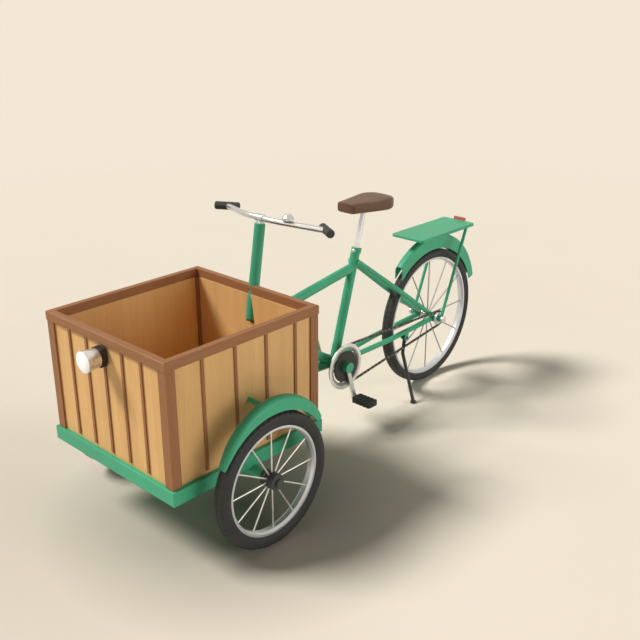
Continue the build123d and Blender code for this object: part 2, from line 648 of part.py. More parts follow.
def build_pivot(parts):
    """Welded bracket on the box's rear, its two lugs and the pin through the head tube."""
    wall_x = BOX_REAR + WALL_INSET
    tray_x = BOX_REAR - TRAY_LEDGE_X
    low = HEAD_BOTTOM - THRUST_GAP - LUG_T
    high = HEAD_TOP + THRUST_GAP + LUG_T
    bracket = block((wall_x - BRACKET_T, -LUG_W / 2, TRAY_TOP), (wall_x, LUG_W / 2, high))
    bracket += block((tray_x - BRACKET_T, -LUG_W / 2, low), (tray_x, LUG_W / 2, TRAY_TOP))
    bracket += block((tray_x - BRACKET_T, -LUG_W / 2, TRAY_TOP), (wall_x, LUG_W / 2, TRAY_TOP + BRACKET_T))
    for z_low, root in ((low, tray_x), (high - LUG_T, wall_x - BRACKET_T)):
        z_high = z_low + LUG_T
        bracket += rod((PIVOT_X, 0, z_low), (PIVOT_X, 0, z_high), LUG_R)
        bracket += block((PIVOT_X, -LUG_R, z_low), (root, LUG_R, z_high))
        bracket += block((root - LUG_T, -LUG_W / 2, z_low), (root, LUG_W / 2, z_high))
    bracket -= rod((PIVOT_X, 0, low - LUG_T), (PIVOT_X, 0, high + LUG_T), PIVOT_PIN_R)
    parts["pivot_bracket"] = bracket - column_cutter()
    pin = rod((PIVOT_X, 0, low - PIN_HEAD_T), (PIVOT_X, 0, high + PIN_HEAD_T), PIVOT_PIN_R)
    pin += rod((PIVOT_X, 0, high), (PIVOT_X, 0, high + PIN_HEAD_T), PIN_HEAD_R)
    parts["pivot_pin"] = pin + rod((PIVOT_X, 0, low - PIN_HEAD_T), (PIVOT_X, 0, low), PIN_HEAD_R)


def stay_path(root):
    """Centre line of a left stay from its root: straight beside the tyre, then in to the root."""
    axle = (-WHEELBASE, STAY_Y, REAR_WHEEL_R)
    share = (REAR_WHEEL_R + STAY_KNEE_AHEAD) / hypot(root[0] - axle[0], root[2] - axle[2])
    knee = (axle[0] + share * (root[0] - axle[0]), STAY_Y, axle[2] + share * (root[2] - axle[2]))
    return [root, knee, axle]


def chain_stay_path():
    """Centre line of the left chain stay."""
    return stay_path((BB_X, STAY_ROOT_Y, BB_Z))


def build_main_tubes(parts):
    """Head tube, top tube, down tube, lower tube, and the seat tube with its bottom bracket shell."""
    head = rod((PIVOT_X, 0, HEAD_BOTTOM), (PIVOT_X, 0, HEAD_TOP), HEAD_R)
    seat = rod(seat_tube_point(BB_Z), seat_tube_point(SEAT_TUBE_TOP), TUBE_R)
    shell = along_y(BB_R, -BB_HALF, BB_HALF, BB_X, BB_Z)
    top_root = (PIVOT_X, 0, HEAD_TOP - TOP_TUBE_BELOW_HEAD)
    top = rod(top_root, seat_tube_point(SEAT_TUBE_TOP - TOP_TUBE_BELOW_SEAT), TUBE_R)
    lower = rod((PIVOT_X, 0, HEAD_BOTTOM + LOWER_TUBE_OVER_HEAD_FOOT), (BB_X, 0, BB_Z), TUBE_R)
    down = rod((PIVOT_X, 0, HEAD_TOP - DOWN_TUBE_BELOW_HEAD), (BB_X, 0, BB_Z), TUBE_R)
    lower -= [head, shell, seat]
    pin_way = rod((PIVOT_X, 0, HEAD_BOTTOM), (PIVOT_X, 0, HEAD_TOP), PIVOT_PIN_R + RUNNING_FIT)
    parts["head_tube"] = head - pin_way
    parts["top_tube"] = top - [head, seat]
    parts["lower_tube"] = lower
    parts["down_tube"] = down - [head, shell, seat, lower]
    post_foot = seat_tube_point(SEAT_TUBE_TOP - SEAT_POST_LAP)
    post = rod(post_foot, seat_tube_point(SEAT_POST_TOP), SEAT_POST_R)
    spindle_way = along_y(SPINDLE_R + RUNNING_FIT, -BB_HALF, BB_HALF, BB_X, BB_Z)
    parts["seat_tube"] = seat + shell - spindle_way - post
    parts["seat_post"] = post


def build_stays(parts):
    """Chain stays with their axle plates, and seat stays."""
    taken = [rod(seat_tube_point(BB_Z), seat_tube_point(SEAT_TUBE_TOP), TUBE_R),
             along_y(BB_R, -BB_HALF, BB_HALF, BB_X, BB_Z)]
    axle_way = along_y(REAR_AXLE_R + RUNNING_FIT, 0, CHAIN_Y, -WHEELBASE, REAR_WHEEL_R)
    plate_in = STAY_Y - AXLE_PLATE_T / 2
    plate = along_y(AXLE_PLATE_R, plate_in, plate_in + AXLE_PLATE_T, -WHEELBASE, REAR_WHEEL_R)
    lower = swept_rod(chain_stay_path(), STAY_BEND_R, STAY_R) - taken + plate - axle_way
    root_z = SEAT_TUBE_TOP - SEAT_STAY_BELOW_SEAT
    upper_path = stay_path((seat_tube_point(root_z)[0], STAY_ROOT_Y, root_z))
    upper = swept_rod(upper_path, STAY_BEND_R, STAY_R) - taken - lower - axle_way
    parts["chain_stays"] = both_sides(lower)
    parts["seat_stays"] = both_sides(upper)


def build_saddle(parts):
    """Saddle, flat and narrow at the nose, broad behind, thicker towards the tail."""
    nose_x = seat_tube_point(SEAT_POST_TOP)[0] + SADDLE_AHEAD_OF_POST
    left = [(nose_x - back, half) for back, half in SADDLE_OUTLINE]
    right = [(x, -y) for x, y in reversed(left)]
    tail_x = left[-1][0]
    body = Pos(0, 0, SADDLE_TOP - SADDLE_TAIL_H) * extrude(
        make_face(Polyline(*left, *right, close=True)), SADDLE_TAIL_H)
    body = fillet(body.edges().filter_by(Axis.Z), SADDLE_CORNER_R)
    body = chamfer(body.faces().sort_by(Axis.Z)[-1].edges(), SADDLE_EDGE)
    under = Polyline((tail_x, 0, SADDLE_TOP - SADDLE_TAIL_H), (nose_x, 0, SADDLE_TOP - SADDLE_NOSE_H),
                     (nose_x, 0, SADDLE_TOP - 2 * SADDLE_TAIL_H), close=True)
    body -= extrude(make_face(under), 2 * SADDLE_TAIL_H, both=True)
    socket = rod(seat_tube_point(SEAT_TUBE_TOP), seat_tube_point(SEAT_POST_TOP + SEAT_FIT),
                 SEAT_POST_R + SEAT_FIT)
    parts["saddle"] = body - socket


def build_rear_trim(parts):
    """Rear fender, rack deck, struts and reflector."""
    far = 2 * REAR_WHEEL_R
    nose_x = ray(REAR_FENDER_FRONT_ANGLE, crown_distance(rear_crown(), REAR_FENDER_FRONT_ANGLE))[0]
    kept = [(0, 0), (nose_x, 0), (nose_x, far), ray(REAR_FENDER_TOP_ANGLE, far),
            ray(REAR_FENDER_REAR_ANGLE, far)]
    fender = Pos(-WHEELBASE, 0, REAR_WHEEL_R) * crowned_fender(
        REAR_WHEEL_R, rear_crown(), REAR_FENDER_EDGE_GAP, REAR_FENDER_W, REAR_FENDER_SHOULDER_R, kept)
    riser = block((-WHEELBASE - RISER_L / 2, -RISER_W / 2, DECK_UNDER - RISER_H - FENDER_SHEET / 2),
                  (-WHEELBASE + RISER_L / 2, RISER_W / 2, DECK_UNDER))
    parts["rear_fender"] = fender + riser
    deck = block((RACK_REAR_X, -RACK_W / 2, DECK_UNDER), (RACK_FRONT_X, RACK_W / 2, RACK_TOP))
    deck = fillet(deck.edges().filter_by(Axis.Z), RACK_T)
    parts["rack_deck"] = fillet(deck.faces().sort_by(Axis.Z)[-1].edges(), RACK_EDGE_R)
    top_x = -WHEELBASE - STRUT_BEHIND_AXLE
    strut = rod((-WHEELBASE, STRUT_Y, REAR_WHEEL_R), (top_x, STRUT_Y, DECK_UNDER + STRUT_R), STRUT_R)
    strut += along_y(EYE_R, STRUT_Y - EYE_T / 2, STRUT_Y + EYE_T / 2, -WHEELBASE, REAR_WHEEL_R)
    strut -= along_y(REAR_AXLE_R + RUNNING_FIT, 0, 2 * STRUT_Y, -WHEELBASE, REAR_WHEEL_R)
    strut &= block((RACK_REAR_X, 0, 0), (RACK_FRONT_X, RACK_W, DECK_UNDER))
    parts["rack_struts"] = both_sides(strut)
    parts["reflector"] = block((RACK_REAR_X - REFLECTOR_T, -REFLECTOR_W / 2, DECK_UNDER),
                               (RACK_REAR_X, REFLECTOR_W / 2, DECK_UNDER + REFLECTOR_H))


def build_chainring(parts):
    """Toothed chainring on its arms, the bright guard ring bolted outside the chain, and the disc."""
    ring_in, ring_out = CHAIN_Y - CHAINRING_T / 2, CHAIN_Y + CHAINRING_T / 2
    band_r = CHAINRING_PITCH_R - TOOTH_UNDER_PITCH - CHAINRING_BAND
    guard_in = CHAIN_Y + CHAIN_W / 2 + GUARD_GAP
    guard_out = guard_in + GUARD_RING_T
    bolt_r = CHAINRING_PITCH_R - TOOTH_UNDER_PITCH - TOOTH_H - GUARD_BOLT_R
    ring = Pos(0, CHAIN_Y, 0) * toothed_wheel(CHAINRING_TEETH, CHAINRING_PITCH_R)
    ring -= along_y(band_r, ring_in, ring_out)
    ring += along_y(GUARD_RING_R, guard_in, guard_out) - along_y(
        GUARD_RING_R - GUARD_RING_BAND, guard_in, guard_out)
    for index in range(CHAINRING_ARMS):
        arm = block((0, ring_in, -CHAINRING_ARM_W / 2), (bolt_r, ring_out, CHAINRING_ARM_W / 2))
        arm += along_y(GUARD_BOLT_R, ring_in, guard_out, bolt_r)
        ring += Rot(0, index * 360 / CHAINRING_ARMS, 0) * arm
    ring -= along_y(CRANK_BOSS_R, ring_in, guard_out)
    parts["chainring"] = Pos(BB_X, 0, BB_Z) * ring
    disc = along_y(DISC_R, ring_out, ring_out + DISC_T) - along_y(CRANK_BOSS_R, ring_out, ring_out + DISC_T)
    parts["guard_disc"] = Pos(BB_X, 0, BB_Z) * disc


def build_cranks(parts):
    """Spindle with its two bosses and arms, and the pedals on their pins."""
    arms = along_y(SPINDLE_R, -CRANK_BOSS_END, CRANK_BOSS_END, BB_X, BB_Z)
    arm_out_y = CRANK_IN_Y + CRANK_T
    pedal_in_y = arm_out_y + PEDAL_GAP
    for side, name in ((1, "left"), (-1, "right")):
        end_x = BB_X - side * CRANK_LENGTH * sin(radians(CRANK_ANGLE))
        end_z = BB_Z - side * CRANK_LENGTH * cos(radians(CRANK_ANGLE))
        arms += along_y(CRANK_BOSS_R, side * (BB_HALF + CRANK_BOSS_GAP), side * CRANK_BOSS_END, BB_X, BB_Z)
        along = Plane(origin=(BB_X, side * (CRANK_IN_Y + CRANK_T / 2), BB_Z),
                      x_dir=(end_x - BB_X, 0, end_z - BB_Z), z_dir=(0, 1, 0))
        arms += along * Pos(CRANK_LENGTH / 2, 0, 0) * Box(CRANK_LENGTH, CRANK_W, CRANK_T)
        arms += along_y(CRANK_EYE_R, side * CRANK_IN_Y, side * arm_out_y, end_x, end_z)
        arms += along_y(PEDAL_AXLE_R, side * CRANK_IN_Y, side * (pedal_in_y + PEDAL_L), end_x, end_z)
        pedal = side_block(side, (end_x - PEDAL_W / 2, pedal_in_y, end_z - PEDAL_H / 2),
                           (end_x + PEDAL_W / 2, pedal_in_y + PEDAL_L, end_z + PEDAL_H / 2))
        pedal = chamfer(pedal.edges().filter_by(Axis.Z), PEDAL_CORNER)
        for index in range(1, PEDAL_RIBS):
            groove_y = side * (pedal_in_y + PEDAL_L * index / PEDAL_RIBS)
            for face_z in (end_z - PEDAL_H / 2, end_z + PEDAL_H / 2):
                pedal -= Pos(end_x, groove_y, face_z) * Box(PEDAL_W, PEDAL_GROOVE_W, 2 * PEDAL_GROOVE_D)
        parts[f"pedal_{name}"] = pedal - along_y(
            PEDAL_AXLE_R + RUNNING_FIT, side * pedal_in_y, side * (pedal_in_y + PEDAL_L), end_x, end_z)
    parts["cranks"] = arms


def belt_point(along, large, small, run):
    """Place on a belt and its outward direction, at a length along it from the large circle's top.

    The large circle lies at the origin and the small one at run along X.
    """
    lean = acos((large - small) / run)
    straight = sqrt(run ** 2 - (large - small) ** 2)
    rear_arc = 2 * lean * small
    if along < straight:
        share = along / straight
        return (large * cos(lean) + share * (run + (small - large) * cos(lean)),
                large * sin(lean) + share * (small - large) * sin(lean)), (cos(lean), sin(lean))
    along -= straight
    if along < rear_arc:
        turn = lean - along / small
        return (run + small * cos(turn), small * sin(turn)), (cos(turn), sin(turn))
    along -= rear_arc
    if along < straight:
        share = 1 - along / straight
        return (large * cos(lean) + share * (run + (small - large) * cos(lean)),
                -large * sin(lean) - share * (small - large) * sin(lean)), (cos(lean), -sin(lean))
    turn = -lean - (along - straight) / large
    return (large * cos(turn), large * sin(turn)), (cos(turn), sin(turn))


def build_chain(parts):
    """One fixed loop of chain, its broad outer and narrow inner links in turn."""
    run = hypot(WHEELBASE + BB_X, REAR_WHEEL_R - BB_Z)
    climb = atan2(REAR_WHEEL_R - BB_Z, WHEELBASE + BB_X)
    large, small = CHAINRING_PITCH_R, SPROCKET_PITCH_R
    lean = acos((large - small) / run)
    length = 2 * sqrt(run ** 2 - (large - small) ** 2) + 2 * (pi - lean) * large + 2 * lean * small
    links = 2 * round(length / (2 * CHAIN_PITCH))
    outlines = []
    for side in (1, -1):
        points = []
        for index in range(links):
            (x, y), (out_x, out_y) = belt_point(index * length / links, large, small, run)
            reach = side * (CHAIN_H / 2 - index % 2 * CHAIN_WAIST)
            points.append((x + reach * out_x, y + reach * out_y))
        outlines.append(make_face(Polyline(*points, close=True)))
    plane = Plane(origin=(BB_X, CHAIN_Y, BB_Z), x_dir=(-cos(climb), 0, sin(climb)), z_dir=(0, 1, 0))
    parts["chain"] = extrude(plane * (outlines[0] - outlines[1]), CHAIN_W / 2, both=True)


def build_stand(parts):
    """Kickstand between the two cheeks under the left chain stay."""
    root, _, axle = chain_stay_path()
    share = STAND_AHEAD_OF_AXLE / hypot(root[0] - axle[0], root[2] - axle[2])
    x = axle[0] + share * (root[0] - axle[0])
    z = axle[2] + share * (root[2] - axle[2]) - STAY_R - STAND_LUG_R
    slot = STAND_R + STAND_PLAY
    outer = slot + STAND_CHEEK_T
    lug = along_y(STAND_LUG_R, STAY_Y - outer, STAY_Y + outer, x, z)
    lug += block((x - STAND_LUG_R, STAY_Y - outer, z),
                 (x + STAND_LUG_R, STAY_Y + outer, z + STAND_LUG_R + STAY_R))
    lug -= block((x - 2 * STAND_LUG_R, STAY_Y - slot, 0),
                 (x + 2 * STAND_LUG_R, STAY_Y + slot, z + STAND_LUG_R))
    lug -= along_y(STAND_PIN_R + RUNNING_FIT, 0, 2 * STAY_Y, x, z)
    parts["stand_lug"] = lug - swept_rod(chain_stay_path(), STAY_BEND_R, STAY_R)
    foot_x = x + STAND_FOOT_AHEAD
    knee = (x + STAND_FOOT_AHEAD * STAND_STRAIGHT / z, STAY_Y, z - STAND_STRAIGHT)
    leg = rod((x, STAY_Y, z), knee, STAND_R) + Pos(*knee) * Sphere(STAND_R)
    leg += rod(knee, (foot_x, STAND_FOOT_Y, STAND_R), STAND_R)
    eye = STAND_R + STAND_PLAY / 2
    leg += along_y(STAND_EYE_R, STAY_Y - eye, STAY_Y + eye, x, z)
    leg += along_y(STAND_PIN_R, STAY_Y - outer - STAND_PIN_PROUD, STAY_Y + outer + STAND_PIN_PROUD, x, z)
    leg += rod((foot_x, STAND_FOOT_Y, 0), (foot_x, STAND_FOOT_Y, STAND_FOOT_H), STAND_FOOT_R)
    parts["kickstand"] = leg


def main():
    """Build every piece, shift it to the origin and write it."""
    parts = {}
    for build in (build_front_wheels, build_rear_wheel, build_tray, build_box, build_front_fenders,
                  build_lamp, build_column, build_handlebar, build_pivot, build_main_tubes, build_stays,
                  build_saddle, build_rear_trim, build_chainring, build_cranks, build_chain, build_stand):
        build(parts)
    fender_reach = crown_distance(rear_crown(), REAR_FENDER_REAR_ANGLE)
    rear_end_x = ray(REAR_FENDER_REAR_ANGLE, fender_reach)[0] - WHEELBASE
    front_end_x = BOX_FRONT + LAMP_REACH
    os.makedirs("parts", exist_ok=True)
    for name, shape in parts.items():
        export_step(Pos(-(front_end_x + rear_end_x) / 2, 0, 0) * shape, f"parts/{name}.step")


main()
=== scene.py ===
"""Looks of the cargo tricycle: materials, saddle, small fittings, floor, light and camera.

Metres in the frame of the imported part: +X forward, +Y the vehicle's left, +Z up.
"""
import json
from math import cos, pi, radians, sin

import bmesh
import bpy
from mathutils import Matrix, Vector


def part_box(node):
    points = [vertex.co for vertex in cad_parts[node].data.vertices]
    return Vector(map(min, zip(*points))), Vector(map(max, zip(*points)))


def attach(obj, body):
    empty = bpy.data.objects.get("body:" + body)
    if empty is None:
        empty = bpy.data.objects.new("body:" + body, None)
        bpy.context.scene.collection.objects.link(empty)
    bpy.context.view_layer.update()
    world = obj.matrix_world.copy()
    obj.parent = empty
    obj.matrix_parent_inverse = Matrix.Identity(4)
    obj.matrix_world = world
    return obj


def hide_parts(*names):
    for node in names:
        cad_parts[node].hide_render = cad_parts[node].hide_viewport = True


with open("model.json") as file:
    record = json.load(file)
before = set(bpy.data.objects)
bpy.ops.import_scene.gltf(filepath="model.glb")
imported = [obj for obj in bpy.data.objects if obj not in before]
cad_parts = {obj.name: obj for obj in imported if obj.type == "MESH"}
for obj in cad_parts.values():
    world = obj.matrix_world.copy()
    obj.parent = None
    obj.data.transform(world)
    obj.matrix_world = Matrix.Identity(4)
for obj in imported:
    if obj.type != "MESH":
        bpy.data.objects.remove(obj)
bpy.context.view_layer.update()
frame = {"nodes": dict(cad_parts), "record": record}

NODES = frame["nodes"]

# Camera: place ahead of the box's rim, to the left and up, then its turns in degrees
CAMERA_AHEAD = 1.4863
CAMERA_SIDE = 2.3567
CAMERA_UP = 1.8950
CAMERA_TILT = 68.462
CAMERA_TURN = 132.774
CAMERA_LENS_MM = 50.0
CAMERA_SENSOR_MM = 36.0
CAMERA_FAR = 100.0

# Suns: name, direction that the light comes from, strength, apparent width in degrees
SUNS = (
    ("key", (0.58, -0.64, 1.0), 3.1, 18.0),
    ("fill", (-0.35, 0.80, 0.22), 1.25, 40.0),
    ("front", (0.9, 0.25, 0.12), 0.42, 60.0),
)
SUN_COLOUR = (1.0, 0.975, 0.94)
SKY_STRENGTH = 0.06
SKY_LOW = (0.86, 0.83, 0.78, 1.0)
SKY_HIGH = (1.0, 1.0, 1.0, 1.0)
SKY_EVEN_FROM = 0.75
BACKDROP = (0.888, 0.807, 0.665, 1.0)

# Floor: a disc that fades out between two distances from the middle
FLOOR_COLOUR = (0.94, 0.86, 0.725)
FLOOR_R = 14.0
FLOOR_CORNERS = 96
FADE_FROM = 2.2
FADE_TO = 7.0
# Painted shadows on it: darker patches where the box's soft shadow and the shade under the tray fall.
# Centre x and y, reach, share at the centre, colour
PAINTED_SHADOW_PATCHES = (
    (1.2, -0.1, 1.25, 0.30, (0.282, 0.258, 0.2175, 1.0)),
    (0.62, 0.18, 0.75, 0.85, (0.185, 0.143, 0.126, 1.0)),
)

# Colours
GREEN = (0.058, 0.425, 0.235, 1.0)
PLANK = (0.81, 0.495, 0.205, 1.0)
BROWN = (0.345, 0.155, 0.066, 1.0)
BOARD = (0.56, 0.36, 0.17, 1.0)
BLACK = (0.028, 0.029, 0.029, 1.0)
CHROME = (0.62, 0.65, 0.69, 1.0)
LAMP_CHROME = (0.84, 0.86, 0.88, 1.0)
SATIN = (0.74, 0.76, 0.79, 1.0)
RIM = (0.68, 0.71, 0.77, 1.0)
RUBBER = (0.05, 0.053, 0.052, 1.0)
TYRE = (0.043, 0.044, 0.044, 1.0)
TYRE_DUST = (0.13, 0.122, 0.11, 1.0)
LEATHER = (0.172, 0.09, 0.053, 1.0)
GLASS = (0.98, 0.985, 0.99, 1.0)
RED = (0.84, 0.17, 0.14, 1.0)
CHAIN = (0.16, 0.155, 0.15, 1.0)
CHAIN_OIL = (0.03, 0.025, 0.02, 1.0)

# Finishes of pieces that have two of them: colour, roughness, metallic
PAINTED = (GREEN, 0.36, 0.0)
DARK = ((0.055, 0.058, 0.057, 1.0), 0.45, 0.0)
# Inner band of the chainring: darker grey steel, a painted shade that makes the bright ring look
# thinner, with a dark gap inside it
GAP_SHADE_STEEL = ((0.30, 0.30, 0.30, 1.0), 0.4, 0.8)
SILVER = ((0.88, 0.89, 0.90, 1.0), 0.26, 0.7)
BRIGHT = ((0.74, 0.75, 0.76, 1.0), 0.3, 0.9)
SPOKE = ((0.80, 0.80, 0.79, 1.0), 0.32, 0.75)
THIN_SPOKE = ((0.34, 0.34, 0.34, 1.0), 0.4, 0.7)

# Where the second finish of such a piece starts: distance from its turning axis
GUARD_RING_FROM = 0.0885
REAR_FLANGE_R = 0.026
FRONT_FLANGE_R = 0.031
CRANK_BOSS_R = 0.0245
FRONT_AXLE_BARE = 0.012

# Widths of boards and rails, and the length of one broad and one narrow link of the chain
FRONT_PLANK_W = 0.101
SIDE_PLANK_W = 0.1415
FLOOR_BOARD_W = 0.088
RAIL_W = 0.026
LINK_PAIR = 0.0254

# Moulded rubber of a tyre. Each pair is where a fade starts and ends, inwards from its outer radius
TREAD_DUST = (0.007, 0.002)
RINGS_INNER = (0.030, 0.027)
RINGS_OUTER = (0.014, 0.017)
# Rings on the wall: radians for each metre of radius
RINGS_PITCH = 2200.0

# Tyres: node, height over the rim, steps around
TYRES = (("front_tyre_left", 0.049, 240), ("front_tyre_right", 0.049, 240), ("rear_tyre", 0.039, 320))
# Half section of a tyre: share of its half width, share of its height
TYRE_WALL = ((0.62, -0.10), (0.66, 0.04), (0.84, 0.18), (0.95, 0.34), (1.0, 0.5), (0.98, 0.64),
             (0.90, 0.78), (0.82, 0.86), (0.80, 0.885), (0.62, 0.945), (0.44, 0.98), (0.40, 0.985),
             (0.16, 1.0), (0.10, 1.0))
# Tread: rows of the section that its grooves cross, steps from one groove to the next, steps that
# one side is turned against the other, share of the height with sharp edges, depth
EDGE_ROWS = (8, 9)
BLOCK_ROWS = (10, 11)
TREAD_REPEAT = 4
TREAD_SHIFT = 2
TREAD_SHARE = 0.16
GROOVE = 0.0018

# Bolt head with its washer: share of the radius, share of the height, sides
BOLT_RINGS = ((1.45, 0.0, 24), (1.45, 0.22, 24), (1.0, 0.22, 6), (1.0, 0.85, 6), (0.86, 1.0, 6))
BOLT_CORNERS = 24
# Round cap: share of the radius, share of the height
CAP_PROFILE = ((1.0, -0.5), (1.0, 0.35), (0.95, 0.6), (0.72, 0.88), (0.35, 1.0))
CAP_STEPS = 32

# Seat collar: its section as radius and height, its middle below the seat tube's top, and its bolt
POST_R = 0.011
COLLAR_SECTION = ((0.0202, -0.012), (0.0215, -0.012), (0.022, -0.010), (0.022, 0.008), (0.0212, 0.010),
                  (0.0202, 0.010))
COLLAR_STEPS = 48
COLLAR_DOWN = 0.009
SEAT_BOLT_PLACE = (0.0215, 0.002, 0.0)
SEAT_BOLT_AXIS = (1.0, 0.1, 0.1)
SEAT_BOLT_R = 0.007
SEAT_BOLT_H = 0.006

# Four bolts of the column's strap: inwards from its front and sides, above and below its middle
STRAP_BOLT_BACK = 0.005
STRAP_BOLT_IN = 0.011
STRAP_BOLT_RISE = 0.009
STRAP_BOLT_R = 0.0048
STRAP_BOLT_H = 0.005

# Round caps: radius, height
BELL_BUTTON = (0.0045, 0.0032)
AXLE_CAP = (0.0175, 0.003)
SPROCKET_COVER = (0.031, 0.0024)
PEDAL_CAP = (0.009, 0.003)

# Saddle pad along its length from nose to tail: half width as a share, dip of the top, depth below
SADDLE_OUTLINE = ((0.0, 0.53), (0.03, 0.56), (0.62, 0.96), (0.72, 1.0), (0.80, 1.0), (0.86, 0.95),
                  (0.985, 0.75), (1.0, 0.71))
SADDLE_DIP = ((0.0, 0.0), (0.25, -0.001), (0.55, -0.0025), (0.85, 0.0), (1.0, -0.003))
SADDLE_DEPTH = ((0.0, 0.044), (0.5, 0.051), (1.0, 0.057))
SADDLE_ROWS = 34
SADDLE_STEPS = 32
# Its two ends, each this share of the length, tuck in at the sides, on top and under
SADDLE_END = 0.015
SADDLE_TUCK_WIDE = 0.07
SADDLE_TUCK_TOP = 0.004
SADDLE_TUCK_UNDER = 0.003
# Its section is a rounded box: a lower power is a squarer one
SADDLE_SIDE_POWER = 0.32
SADDLE_RISE_POWER = 0.36
SADDLE_CROWN = 0.0025

BEVEL_SAMPLES = 4
# Width over which one finish gives way to the other
RAMP = 0.0005


class Shader:
    """One node material, built step by step."""

    def __init__(self, name, colour, roughness, metallic=0.0, **sockets):
        self.material = bpy.data.materials.new(name)
        self.material.use_nodes = True
        self.tree = self.material.node_tree
        self.skin = self.tree.nodes["Principled BSDF"]
        self.put(self.skin, "Base Color", colour)
        self.put(self.skin, "Roughness", roughness)
        self.put(self.skin, "Metallic", metallic)
        for socket, value in sockets.items():
            self.put(self.skin, socket.replace("_", " "), value)
        self.place = self.tree.nodes.new("ShaderNodeTexCoord").outputs["Object"]
        self.bump = None

    def put(self, node, socket, value):
        """Set an input, or link it to an output."""
        if isinstance(value, bpy.types.NodeSocket):
            self.tree.links.new(value, node.inputs[socket])
        else:
            node.inputs[socket].default_value = value

    def node(self, kind, **inputs):
        """New node with its inputs set by name."""
        made = self.tree.nodes.new("ShaderNode" + kind)
        for socket, value in inputs.items():
            self.put(made, socket.replace("_", " "), value)
        return made

    def scaled(self, scale, place=None):
        """The surface's place, scaled along each axis."""
        return self.node("Mapping", Vector=place or self.place, Scale=scale).outputs["Vector"]

    def noise(self, scale, detail=4.0, roughness=0.55, place=None):
        """Cloudy values between 0 and 1; scale is one number, or one for each axis."""
        if isinstance(scale, (int, float)):
            scale = (scale, scale, scale)
        made = self.node("TexNoise", Vector=self.scaled(scale, place), Scale=1.0, Detail=detail,
                         Roughness=roughness)
        return made.outputs["Fac"]

    def math(self, operation, first, second=0.0, third=0.0):
        """One step of arithmetic."""
        made = self.tree.nodes.new("ShaderNodeMath")
        made.operation = operation
        for index, value in enumerate((first, second, third)):
            self.put(made, index, value)
        return made.outputs[0]

    def away(self, first, second, middle=(0.0, 0.0)):
        """Distance of the point (first, second) from middle."""
        squares = []
        for value, start in zip((first, second), middle):
            gap = self.math("SUBTRACT", value, start)
            squares.append(self.math("MULTIPLY", gap, gap))
        return self.math("SQRT", self.math("ADD", *squares))

    def span(self, value, low, high, to_low=0.0, to_high=1.0):
        """Value moved from one range to another, and kept inside it."""
        made = self.node("MapRange", Value=value, From_Min=low, From_Max=high, To_Min=to_low,
                         To_Max=to_high)
        return made.outputs["Result"]

    def blend(self, share, first, second, mode="MIX"):
        """Two colours mixed."""
        made = self.tree.nodes.new("ShaderNodeMix")
        made.data_type = "RGBA"
        made.blend_type = mode
        for socket, value in ((0, share), (6, first), (7, second)):
            self.put(made, socket, value)
        return made.outputs[2]

    def split(self, place=None):
        """X, Y and Z of the surface's place."""
        return self.node("SeparateXYZ", Vector=place or self.place).outputs

    def rough(self, height, distance, strength=1.0):
        """Relief on top of the relief so far."""
        inputs = {"Height": height, "Distance": distance, "Strength": strength}
        made = self.node("Bump", **inputs)
        if self.bump:
            self.put(made, "Normal", self.bump)
        self.bump = made.outputs["Normal"]
        self.put(self.skin, "Normal", self.bump)

    def bevelled(self, radius):
        """Normal of the surface as if its edges were rounded."""
        bevel = self.tree.nodes.new("ShaderNodeBevel")
        bevel.samples = BEVEL_SAMPLES
        self.put(bevel, "Radius", radius)
        return bevel.outputs["Normal"]

    def edges(self, radius):
        """1 on a sharp edge, 0 on the flat beside it."""
        real = self.tree.nodes.new("ShaderNodeNewGeometry").outputs["True Normal"]
        dot = self.tree.nodes.new("ShaderNodeVectorMath")
        dot.operation = "DOT_PRODUCT"
        self.put(dot, 0, self.bevelled(radius))
        self.put(dot, 1, real)
        return self.span(dot.outputs["Value"], 0.995, 0.8)

    def soften(self, radius):
        """Rounded light on the edges."""
        self.bump = self.bevelled(radius)
        self.put(self.skin, "Normal", self.bump)


def mixed(colour, factor):
    """Colour made lighter or darker."""
    return tuple(min(1.0, channel * factor) for channel in colour[:3]) + (1.0,)


def paint(name, colour, roughness=0.4, coat=0.04):
    """Sprayed paint with cloudy gloss, fine orange peel and a patchy painted highlight along its edges.
    """
    made = Shader(name, colour, roughness, Coat_Weight=coat, Coat_Roughness=0.2,
                  Specular_IOR_Level=0.3)
    made.soften(0.003)
    clouds = made.noise(5)
    tone = made.blend(made.span(clouds, 0.35, 0.65), mixed(colour, 0.93), mixed(colour, 1.06))
    specks = made.span(made.noise(160, 2.0), 0.62, 0.75)
    tone = made.blend(made.math("MULTIPLY", specks, 0.25), tone, mixed(colour, 0.72))
    # Painted highlight: the edges made paler, in patches
    patches = made.span(made.noise(38), 0.4, 0.7)
    paint_edge_highlight = made.math("MULTIPLY", made.edges(0.0018), patches)
    tone = made.blend(made.math("MULTIPLY", paint_edge_highlight, 0.5), tone, mixed(colour, 1.5))
    made.put(made.skin, "Base Color", tone)
    made.put(made.skin, "Roughness", made.span(clouds, 0.3, 0.7, roughness - 0.06, roughness + 0.1))
    made.rough(made.noise(260, 2.0), 0.0002, 0.35)
    return made.material


